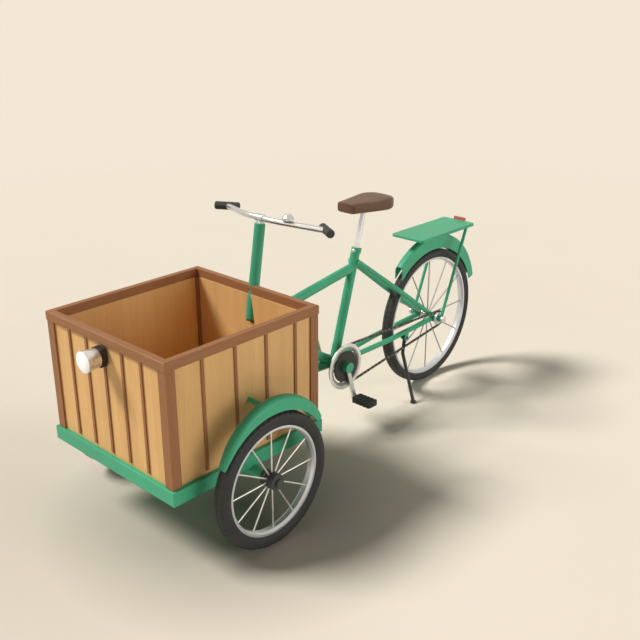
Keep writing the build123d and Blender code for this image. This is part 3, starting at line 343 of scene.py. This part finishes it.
def wood(name, colour, along="Z", planks=None, turned=None, roughness=0.52):
    """Oiled wood: grain along one axis, growth bands, pores, planks of slightly different tone.

    planks is the axis across them, their width and the place of one joint; turned is a half width
    beyond which the grain runs along X.
    """
    made = Shader(name, colour, roughness, Specular_IOR_Level=0.3)
    made.soften(0.0015)
    place = made.place
    x, y, z = made.split()
    if planks:
        across, width, joint = planks
        start = made.math("SUBTRACT", {"X": x, "Y": y}[across], joint)
        count = made.math("FLOOR", made.math("DIVIDE", start, width))
        chance = made.tree.nodes.new("ShaderNodeTexWhiteNoise")
        chance.noise_dimensions = "1D"
        made.put(chance, "W", count)
        luck = chance.outputs["Value"]
        moved = made.math("ADD", z, made.math("MULTIPLY", luck, 7.0))
        place = made.node("CombineXYZ", X=x, Y=y, Z=moved).outputs["Vector"]
    if turned:
        swap = made.math("GREATER_THAN", made.math("ABSOLUTE", y), turned)
        other = made.node("CombineXYZ", X=y, Y=x, Z=z).outputs["Vector"]
        pick = made.tree.nodes.new("ShaderNodeMix")
        pick.data_type = "VECTOR"
        made.put(pick, 0, swap)
        made.put(pick, 4, place)
        made.put(pick, 5, other)
        place = pick.outputs[1]

    def streaks(lengthways, crossways, detail, rough):
        scale = [(lengthways if axis == along else crossways) for axis in "XYZ"]
        return made.noise(scale, detail, rough, place)

    bands = streaks(1.1, 17, 3.0, 0.5)
    grain = streaks(9, 120, 6.0, 0.65)
    pores = streaks(22, 700, 2.0, 0.5)
    deep =(colour[0] * 0.80, colour[1] * 0.72, colour[2] * 0.62, 1.0)
    tone = made.blend(made.span(bands, 0.35, 0.65), mixed(colour, 0.94), mixed(colour, 1.05))
    tone = made.blend(made.math("MULTIPLY", made.span(grain, 0.5, 0.72), 0.42), tone, deep)
    tone = made.blend(made.math("MULTIPLY", made.span(pores, 0.6, 0.75), 0.3), tone, mixed(deep, 0.8))
    if planks:
        tone = made.blend(made.span(luck, 0.0, 1.0, 0.0, 0.35), tone, deep)
    # Painted highlight: the edges made paler, patchy along the grain
    wood_edge_highlight = made.math("MULTIPLY", made.edges(0.0025), made.span(grain, 0.35, 0.6))
    tone = made.blend(made.math("MULTIPLY", wood_edge_highlight, 0.45), tone, mixed(colour, 1.35))
    made.put(made.skin, "Base Color", tone)
    made.put(made.skin, "Roughness", made.span(grain, 0.3, 0.7, roughness - 0.1, roughness + 0.14))
    made.rough(grain, 0.0006, 0.5)
    made.rough(pores, 0.0003, 0.4)
    return made.material


def metal(name, colour, roughness, metallic=1.0, brushed=60):
    """Bare metal with fine scratches and slightly dull patches."""
    made = Shader(name, colour, roughness, metallic)
    made.soften(0.0008)
    dull = made.noise(14)
    lines = made.noise(brushed, 5.0, 0.7)
    tone = made.blend(made.span(dull, 0.35, 0.7), mixed(colour, 1.04), mixed(colour, 0.86))
    made.put(made.skin, "Base Color", tone)
    made.put(made.skin, "Roughness", made.span(dull, 0.3, 0.75, roughness, roughness + 0.14))
    made.rough(lines, 0.0001, 0.06)
    return made.material


def two_metals(name, first, second, share_of):
    """Two finishes on one piece: share_of gives 0 where the first shows and 1 where the second does.

    A finish is (colour, roughness, metallic).
    """
    made = Shader(name, first[0], first[1], first[2])
    made.soften(0.0008)
    share = share_of(made)
    clouds = made.noise(40)
    tone = made.blend(share, first[0], second[0])
    tone = made.blend(made.span(clouds, 0.45, 0.75, 0.0, 0.25), tone, mixed(first[0], 0.6))
    made.put(made.skin, "Base Color", tone)
    dull = made.span(clouds, 0.3, 0.7, 0.0, 0.1)
    rough = made.span(share, 0.0, 1.0, first[1], second[1])
    made.put(made.skin, "Roughness", made.math("ADD", dull, rough))
    made.put(made.skin, "Metallic", made.span(share, 0.0, 1.0, first[2], second[2]))
    made.rough(made.noise(260, 2.0), 0.0002, 0.3)
    return made.material


def beyond(middle, limit):
    """Share that is 1 farther than limit from the Y axis through middle."""
    def share(made):
        x, _, z = made.split()
        return made.span(made.away(x, z, (middle.x, middle.z)), limit, limit + RAMP)
    return share


def outboard(limit):
    """Share that is 1 farther than limit from the mid-plane."""
    def share(made):
        return made.span(made.math("ABSOLUTE", made.split()[1]), limit, limit + RAMP)
    return share


def rubber(name, colour, centre=None, radius=None):
    """Black rubber; with centre and radius also moulded rings on the wall and dust on the tread."""
    made = Shader(name, colour, 0.62, Specular_IOR_Level=0.22)
    grit = made.noise(420, 3.0)
    clouds = made.noise(9)
    tone = made.blend(made.span(clouds, 0.35, 0.7), mixed(colour, 0.85), mixed(colour, 1.25))
    if radius:
        x, _, z = made.split()
        reach = made.away(x, z, (centre.x, centre.z))
        tread, inner, outer = [made.span(reach, radius - start, radius - end)
                               for start, end in (TREAD_DUST, RINGS_INNER, RINGS_OUTER)]
        dust = made.math("MULTIPLY", tread, made.span(clouds, 0.3, 0.7, 0.0, 0.06))
        tone = made.blend(dust, tone, TYRE_DUST)
        rings = made.math("SINE", made.math("MULTIPLY", reach, RINGS_PITCH))
        band = made.math("MULTIPLY", inner, outer)
        made.rough(made.math("MULTIPLY", rings, band), 0.0006, 0.5)
    made.put(made.skin, "Base Color", tone)
    made.put(made.skin, "Roughness", made.span(clouds, 0.3, 0.7, 0.52, 0.74))
    made.rough(grit, 0.0003, 0.4)
    return made.material


def leather(name, colour):
    """Worn brown leather: pebbled, darker in its folds, paler where it is rubbed."""
    made = Shader(name, colour, 0.5, Sheen_Weight=0.05, Sheen_Roughness=0.5,
                  Specular_IOR_Level=0.3)
    cells = made.node("TexVoronoi", Vector=made.scaled((260, 260, 260)), Scale=1.0)
    cells.feature = "DISTANCE_TO_EDGE"
    pebbles = made.span(cells.outputs["Distance"], 0.0, 0.35)
    clouds = made.noise(11)
    creases = made.noise((32, 90, 32), 5.0, 0.6)
    tone = made.blend(made.span(clouds, 0.35, 0.68), mixed(colour, 0.8), mixed(colour, 1.22))
    tone = made.blend(made.span(pebbles, 0.0, 0.5, 0.55, 0.0), tone, mixed(colour, 0.5))
    folds = made.math("MULTIPLY", made.span(creases, 0.6, 0.75), 0.5)
    tone = made.blend(folds, tone, mixed(colour, 0.6))
    made.put(made.skin, "Base Color", tone)
    made.put(made.skin, "Roughness", made.span(clouds, 0.3, 0.7, 0.4, 0.6))
    made.rough(pebbles, 0.0005, 0.55)
    made.rough(creases, 0.0012, 0.4)
    return made.material


def lens(name, colour, pitch, roughness, transmission, painted_glow=0.0):
    """Moulded lens with a grid of small prisms; its last argument is painted light: the lens gives off
    a glow of its own colour, standing in for what the reflector behind it sends back.
    """
    made = Shader(name, colour, roughness, Transmission_Weight=transmission, IOR=1.49,
                  Emission_Color=colour, Emission_Strength=painted_glow)
    _, y, z = made.split()
    waves = made.math("MULTIPLY", made.math("SINE", made.math("MULTIPLY", y, pitch)),
                      made.math("SINE", made.math("MULTIPLY", z, pitch)))
    tone = made.blend(made.span(made.noise(30), 0.3, 0.7), mixed(colour, 0.92), colour)
    made.put(made.skin, "Base Color", tone)
    made.rough(waves, 0.0008, 0.6)
    return made.material


def chain_metal(name, colour, pitch):
    """Oiled steel chain: painted shade darkens the gaps between the links along its run, and the plates
    are painted paler.
    """
    made = Shader(name, colour, 0.42, 0.85)
    x = made.split()[0]
    links = made.math("SINE", made.math("MULTIPLY", x, 2 * pi / pitch))
    link_relief_and_gap_shade = made.span(links, -0.3, 0.5)
    grime = made.noise(70)
    # Painted shade: darker in the gaps between the links, paler on the plates
    tone = made.blend(link_relief_and_gap_shade, mixed(colour, 0.35), mixed(colour, 1.3))
    tone = made.blend(made.span(grime, 0.45, 0.7), tone, CHAIN_OIL)
    made.put(made.skin, "Base Color", tone)
    made.put(made.skin, "Roughness", made.span(grime, 0.3, 0.7, 0.34, 0.62))
    made.rough(link_relief_and_gap_shade, 0.001, 0.7)
    return made.material


def body_with(node):
    """Body that a node belongs to."""
    for body, names in frame["record"]["behaviour"]["bodies"].items():
        if node in names:
            return body
    return None


def size(node):
    """Low and high corner of a node."""
    low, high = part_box(node)
    return Vector(low), Vector(high)


def centre_of(node):
    """Middle of a node's box."""
    low, high = size(node)
    return (low + high) / 2


def dress():
    """Give every node of the part its material."""
    hub_low = size("front_tyre_left")[0]
    chainring = centre_of("chainring")
    looks = {
        "green": paint("green_paint", GREEN),
        "brown_up": wood("brown_wood", BROWN),
        "front": wood("front_planks", PLANK, planks=("Y", FRONT_PLANK_W, FRONT_PLANK_W / 2)),
        "side": wood("side_planks", PLANK, planks=("X", SIDE_PLANK_W, size("battens")[0].x)),
        "floor": wood("floor_boards", BOARD, along="X", planks=("Y", FLOOR_BOARD_W, 0.0)),
        "rail": wood("rail_wood", BROWN, along="Y", turned=size("top_rail")[1].y - RAIL_W),
        "chrome": metal("chrome", CHROME, 0.2, 0.95),
        "barrel": metal("lamp_chrome", LAMP_CHROME, 0.24, 0.85),
        "satin": metal("satin_metal", SATIN, 0.34, 0.7, (30, 300, 30)),
        "rim": metal("rim_metal", RIM, 0.32, 0.65),
        # Chainring: bright outer band; its inner band painted darker as a shaded gap
        "ring": two_metals("ring_steel", GAP_SHADE_STEEL, SILVER, beyond(chainring, GUARD_RING_FROM)),
        "black": paint("black_paint", BLACK, 0.42, 0.15),
        "rubber": rubber("black_rubber", RUBBER),
        "leather": leather("saddle_leather", LEATHER),
        # The lamp's lens gets a painted glow of its own
        "glass": lens("lamp_glass", GLASS, 700.0, 0.16, 0.0, 0.26),
        "red": lens("red_reflector", RED, 900.0, 0.18, 0.1),
        "hub_rear": two_metals("hub_rear", BRIGHT, THIN_SPOKE,
                               beyond(centre_of("rear_tyre"), REAR_FLANGE_R)),
        "axle": two_metals("axle_paint", PAINTED, DARK, outboard(hub_low.y - FRONT_AXLE_BARE)),
        "crank": two_metals("crank_metal", PAINTED, BRIGHT, beyond(chainring, CRANK_BOSS_R)),
        "chain": chain_metal("chain_steel", CHAIN, LINK_PAIR),
    }
    for side in ("left", "right"):
        share = beyond(centre_of("front_tyre_" + side), FRONT_FLANGE_R)
        looks["hub_" + side] = two_metals("hub_" + side, DARK, SPOKE, share)
    for name, _, _ in TYRES:
        low, high = size(name)
        looks[name] = rubber(name + "_rubber", TYRE, (low + high) / 2, (high.z - low.z) / 2)
    wears = {
        "box_wall_front": "front", "box_wall_rear": "front", "box_wall_left": "side",
        "box_wall_right": "side", "box_floor": "floor", "corner_posts": "brown_up",
        "battens": "brown_up", "top_rail": "rail", "lamp_block": "black", "lamp_shell": "barrel",
        "lamp_lens": "glass", "column_strap": "green", "handlebar": "chrome", "grips": "rubber",
        "stem_clamp": "chrome", "bell": "chrome", "pivot_pin": "black", "seat_post": "satin",
        "saddle": "leather", "reflector": "red", "chain": "chain", "rear_axle": "satin",
        "rear_sprocket": "satin", "chainring": "ring", "guard_disc": "black", "cranks": "crank",
        "pedal_left": "rubber", "pedal_right": "rubber", "kickstand": "black",
        "front_hub_left": "hub_left", "front_hub_right": "hub_right", "rear_hub": "hub_rear",
        "front_axle": "axle", "front_rim_left": "rim", "front_rim_right": "rim", "rear_rim": "rim",
        "front_tyre_left": "front_tyre_left", "front_tyre_right": "front_tyre_right",
        "rear_tyre": "rear_tyre",
    }
    for name, item in NODES.items():
        item.data.materials.clear()
        item.data.materials.append(looks[wears.get(name, "green")])
    return looks


def mesh_object(name, verts, faces, material, smooth=True):
    """New mesh piece."""
    data = bpy.data.meshes.new(name)
    data.from_pydata([tuple(v) for v in verts], [], faces)
    data.materials.append(material)
    for face in data.polygons:
        face.use_smooth = smooth
    item = bpy.data.objects.new(name, data)
    bpy.context.scene.collection.objects.link(item)
    return item


def curve_at(table, place):
    """Value between the rows of a table of (place, value)."""
    for (a, low), (b, high) in zip(table, table[1:]):
        if place <= b:
            share = (place - a) / (b - a)
            return low + (high - low) * share
    return table[-1][1]


def closed(item):
    """Faces of a mesh piece turned outwards."""
    tidy = bmesh.new()
    tidy.from_mesh(item.data)
    bmesh.ops.recalc_face_normals(tidy, faces=tidy.faces)
    tidy.to_mesh(item.data)
    tidy.free()
    return item


def bridge(faces, near, far, count):
    """Add the faces between two closed rows of points that start at near and far."""
    for step in range(count):
        after = (step + 1) % count
        faces.append((near + step, near + after, far + after, far + step))


def spun(section, steps, lift):
    """Points and faces of a closed section turned about the Y axis; lift changes a point's radius."""
    count = len(section)
    verts, faces = [], []
    for step in range(steps):
        turn = 2 * pi * step / steps
        for index, (offset, radius) in enumerate(section):
            reach = radius + lift(step, index)
            verts.append(Vector((reach * sin(turn), offset, reach * cos(turn))))
        bridge(faces, step * count, (step + 1) % steps * count, count)
    return verts, faces


def build_tyre(node, height, steps, material):
    """Round tyre with a moulded tread over the plain one."""
    low, high = size(node)
    middle = (low + high) / 2
    radius, half = (high.z - low.z) / 2, (high.y - low.y) / 2
    bead = radius - height
    left = [(share_w * half, bead + share_h * height) for share_w, share_h in TYRE_WALL]
    section = left + [(-offset, reach) for offset, reach in reversed(left)]
    last = len(section) - 1

    def tread(step, index):
        row = min(index, last - index)
        shift = TREAD_SHIFT if index > last / 2 else 0
        place = (step + shift) % TREAD_REPEAT
        sunk = (row == len(left) - 1 or row in BLOCK_ROWS and place == 0
                or row in EDGE_ROWS and place < TREAD_REPEAT / 2)
        return -GROOVE if sunk else 0.0

    verts, faces = spun(section, steps, tread)
    tyre = closed(mesh_object(node + "_tread", [v + middle for v in verts], faces, material))
    for face in tyre.data.polygons:
        away = Vector((face.center.x - middle.x, 0, face.center.z - middle.z)).length
        face.use_smooth = away < radius - TREAD_SHARE * height
    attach(tyre, body_with(node))
    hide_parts(node)


def hex_bolts(name, places, axis, radius, height, node, material):
    """Bolt heads with washers, standing on places along axis, as one piece."""
    verts, faces = [], []
    turn = Vector(axis).to_track_quat("Z", "Y").to_matrix()
    for place in places:
        base = len(verts)
        for reach, rise, sides in BOLT_RINGS:
            for step in range(BOLT_CORNERS):
                angle = 2 * pi * step / BOLT_CORNERS
                far = reach * radius
                if sides == 6:
                    far *= cos(pi / 6) / cos((angle % (pi / 3)) - pi / 6)
                point = Vector((far * cos(angle), far * sin(angle), rise * height))
                verts.append(Vector(place) + turn @ point)
        for ring in range(len(BOLT_RINGS) - 1):
            row = base + ring * BOLT_CORNERS
            bridge(faces, row, row + BOLT_CORNERS, BOLT_CORNERS)
        faces.append(tuple(range(base + BOLT_CORNERS - 1, base - 1, -1)))
        faces.append(tuple(range(len(verts) - BOLT_CORNERS, len(verts))))
    bolts = closed(mesh_object(name, verts, faces, material, smooth=False))
    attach(bolts, body_with(node))


def round_cap(name, place, axis, cap, node, material):
    """Shallow round cap standing on place along axis; cap is its radius and height."""
    radius, height = cap
    turn = Vector(axis).to_track_quat("Z", "Y").to_matrix()
    verts, faces = [], []
    for reach, rise in CAP_PROFILE:
        for step in range(CAP_STEPS):
            angle = 2 * pi * step / CAP_STEPS
            point = Vector((reach * radius * cos(angle), reach * radius * sin(angle), rise * height))
            verts.append(place + turn @ point)
    for row in range(0, len(verts) - CAP_STEPS, CAP_STEPS):
        bridge(faces, row, row + CAP_STEPS, CAP_STEPS)
    faces.append(tuple(range(CAP_STEPS - 1, -1, -1)))
    faces.append(tuple(range(len(verts) - CAP_STEPS, len(verts))))
    made = closed(mesh_object(name, verts, faces, material))
    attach(made, body_with(node))


def build_collar(looks):
    """Collar round the seat tube's top, square to the tube, with its bolt."""
    tube_top = size("seat_tube")[1].z
    low, high = size("seat_post")
    lean = (high.x - low.x - 2 * POST_R) / (high.z - low.z)
    foot_x = low.x + POST_R + lean * (high.z - tube_top)
    middle = Vector((foot_x, 0.0, tube_top - COLLAR_DOWN))
    turn = Vector((-lean, 0.0, 1.0)).normalized().to_track_quat("Z", "Y").to_matrix()
    verts, faces = [], []
    count = len(COLLAR_SECTION)
    for step in range(COLLAR_STEPS):
        angle = 2 * pi * step / COLLAR_STEPS
        for reach, rise in COLLAR_SECTION:
            verts.append(middle + turn @ Vector((reach * cos(angle), reach * sin(angle), rise)))
        bridge(faces, step * count, (step + 1) % COLLAR_STEPS * count, count)
    collar = closed(mesh_object("seat_collar", verts, faces, looks["green"], smooth=False))
    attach(collar, body_with("seat_tube"))
    hex_bolts("seat_bolt", [middle + Vector(SEAT_BOLT_PLACE)], SEAT_BOLT_AXIS, SEAT_BOLT_R, SEAT_BOLT_H,
              "seat_tube", looks["satin"])


def build_fittings(looks):
    """Strap bolts, bell button, caps on the rear axle and the pedals, and the sprocket's disc."""
    low, high = size("column_strap")
    mid_z = (low.z + high.z) / 2
    places = [Vector((high.x - STRAP_BOLT_BACK, side * (high.y - STRAP_BOLT_IN), mid_z + rise))
              for side in (1, -1) for rise in (-STRAP_BOLT_RISE, STRAP_BOLT_RISE)]
    hex_bolts("strap_bolts", places, (-1.0, 0.0, 0.0), STRAP_BOLT_R, STRAP_BOLT_H, "column_strap",
              looks["satin"])
    place = centre_of("bell")
    place.z = size("bell")[1].z
    round_cap("bell_button", place, (0.0, 0.0, 1.0), BELL_BUTTON, "bell", looks["chrome"])
    # Caps on outer faces: name, node under it, side, size, slot, look
    caps = (
        ("axle_cap_left", "rear_axle", 1, AXLE_CAP, "bright_metal", "satin"),
        ("axle_cap_right", "rear_axle", -1, AXLE_CAP, "bright_metal", "satin"),
        ("sprocket_cover", "rear_sprocket", 1, SPROCKET_COVER, "bright_metal", "barrel"),
        ("pedal_left_cap", "pedal_left", 1, PEDAL_CAP, "black_rubber", "rubber"),
        ("pedal_right_cap", "pedal_right", -1, PEDAL_CAP, "black_rubber", "rubber"),
    )
    for name, node, side, cap, slot, look in caps:
        place = centre_of(node)
        place.y = size(node)[side > 0].y
        round_cap(name, place, (0.0, side, 0.0), cap, node, looks[look])


def build_saddle(material):
    """Stuffed leather saddle over the solid one: rounded nose, broad tail, shallow dip, rolled rim."""
    low, high = size("saddle")
    length = high.x - low.x
    half = (high.y - low.y) / 2
    verts, faces = [], []
    for row in range(SADDLE_ROWS + 1):
        along = (1 - cos(row / SADDLE_ROWS * pi)) / 2
        close = min(along, 1 - along)
        tuck = (close / SADDLE_END) ** 0.5 if close < SADDLE_END else 1.0
        wide = half * curve_at(SADDLE_OUTLINE, along) * (1 - SADDLE_TUCK_WIDE * (1 - tuck))
        top = high.z + curve_at(SADDLE_DIP, along) - SADDLE_TUCK_TOP * (1 - tuck)
        bottom = high.z - curve_at(SADDLE_DEPTH, along) + SADDLE_TUCK_UNDER * (1 - tuck)
        mid, thick = (top + bottom) / 2, (top - bottom) / 2
        for step in range(SADDLE_STEPS):
            turn = 2 * pi * step / SADDLE_STEPS
            side, rise = cos(turn), sin(turn)
            side = (1 if side >= 0 else -1) * abs(side) ** SADDLE_SIDE_POWER
            rise = (1 if rise >= 0 else -1) * abs(rise) ** SADDLE_RISE_POWER
            crown = -SADDLE_CROWN * side * side if rise > 0 else 0.0
            verts.append((high.x - along * length, side * wide, mid + rise * thick + crown))
    for row in range(SADDLE_ROWS):
        bridge(faces, row * SADDLE_STEPS, (row + 1) * SADDLE_STEPS, SADDLE_STEPS)
    faces.append(tuple(range(SADDLE_STEPS))[::-1])
    faces.append(tuple(range(SADDLE_ROWS * SADDLE_STEPS, (SADDLE_ROWS + 1) * SADDLE_STEPS)))
    saddle = closed(mesh_object("saddle_pad", verts, faces, material))
    smooth = saddle.modifiers.new("smooth", "SUBSURF")
    smooth.levels = smooth.render_levels = 1
    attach(saddle, body_with("saddle"))
    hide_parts("saddle")


def build_stage():
    """Pale floor with painted shadows that fades into the backdrop, three soft suns and an even sky."""
    data = bpy.data.meshes.new("floor")
    turns = [2 * pi * corner / FLOOR_CORNERS for corner in range(FLOOR_CORNERS)]
    ring = [(FLOOR_R * cos(turn), FLOOR_R * sin(turn), 0.0) for turn in turns]
    data.from_pydata(ring, [], [tuple(range(FLOOR_CORNERS))])
    floor = bpy.data.objects.new("floor", data)
    bpy.context.scene.collection.objects.link(floor)
    made = Shader("floor_paper", FLOOR_COLOUR + (1.0,), 0.9, Specular_IOR_Level=0.1)
    x, y, _ = made.split()
    clouds = made.span(made.noise(0.8), 0.3, 0.7)
    tone = made.blend(clouds, mixed(FLOOR_COLOUR, 0.99), mixed(FLOOR_COLOUR, 1.01))
    # Painted shadows: the floor's colour darkened in soft round patches
    for patch_x, patch_y, reach, share, colour in PAINTED_SHADOW_PATCHES:
        away = made.away(x, y, (patch_x, patch_y))
        tone = made.blend(made.span(away, 0.0, reach, share, 0.0), tone, colour)
    made.put(made.skin, "Base Color", tone)
    clear = made.tree.nodes.new("ShaderNodeBsdfTransparent")
    mix = made.tree.nodes.new("ShaderNodeMixShader")
    made.put(mix, 0, made.span(made.away(x, y), FADE_FROM, FADE_TO))
    made.put(mix, 1, made.skin.outputs[0])
    made.put(mix, 2, clear.outputs[0])
    made.tree.links.new(mix.outputs[0], made.tree.nodes["Material Output"].inputs["Surface"])
    data.materials.append(made.material)

    for name, source, strength, angle in SUNS:
        light = bpy.data.lights.new(name, "SUN")
        light.energy = strength
        light.angle = radians(angle)
        light.color = SUN_COLOUR
        lamp = bpy.data.objects.new(name, light)
        lamp.rotation_euler = Vector(source).to_track_quat("Z", "Y").to_euler()
        bpy.context.scene.collection.objects.link(lamp)

    world = bpy.data.worlds.new("studio")
    bpy.context.scene.world = world
    world.use_nodes = True
    tree = world.node_tree
    tree.nodes.clear()
    place = tree.nodes.new("ShaderNodeTexCoord").outputs["Generated"]
    split = tree.nodes.new("ShaderNodeSeparateXYZ")
    tree.links.new(place, split.inputs[0])
    ramp = tree.nodes.new("ShaderNodeValToRGB")
    tree.links.new(split.outputs["Z"], ramp.inputs["Fac"])
    for element, position, colour in zip(ramp.color_ramp.elements, (0.0, SKY_EVEN_FROM),
                                         (SKY_LOW, SKY_HIGH)):
        element.position = position
        element.color = colour
    sky = tree.nodes.new("ShaderNodeBackground")
    sky.inputs["Strength"].default_value = SKY_STRENGTH
    tree.links.new(ramp.outputs["Color"], sky.inputs["Color"])
    seen = tree.nodes.new("ShaderNodeBackground")
    seen.inputs["Color"].default_value = BACKDROP
    rays = tree.nodes.new("ShaderNodeLightPath").outputs
    direct = rays["Is Camera Ray"]
    for kind in ("Is Glossy Ray", "Is Transmission Ray"):
        either = tree.nodes.new("ShaderNodeMath")
        either.operation = "MAXIMUM"
        tree.links.new(direct, either.inputs[0])
        tree.links.new(rays[kind], either.inputs[1])
        direct = either.outputs[0]
    mix = tree.nodes.new("ShaderNodeMixShader")
    tree.links.new(direct, mix.inputs[0])
    tree.links.new(sky.outputs[0], mix.inputs[1])
    tree.links.new(seen.outputs[0], mix.inputs[2])
    output = tree.nodes.new("ShaderNodeOutputWorld")
    tree.links.new(mix.outputs[0], output.inputs["Surface"])


def build_camera():
    """The photograph's viewpoint."""
    data = bpy.data.cameras.new("camera")
    data.lens = CAMERA_LENS_MM
    data.sensor_width = CAMERA_SENSOR_MM
    data.clip_end = CAMERA_FAR
    camera = bpy.data.objects.new("camera", data)
    camera.location = (size("top_rail")[1].x + CAMERA_AHEAD, CAMERA_SIDE, CAMERA_UP)
    camera.rotation_euler = (radians(CAMERA_TILT), 0.0, radians(CAMERA_TURN))
    bpy.context.scene.collection.objects.link(camera)
    bpy.context.scene.camera = camera


looks = dress()
build_saddle(looks["leather"])
for name, height, steps in TYRES:
    build_tyre(name, height, steps, looks[name])
build_collar(looks)
build_fittings(looks)
build_stage()
build_camera()
bpy.context.scene.view_settings.view_transform = "Standard"
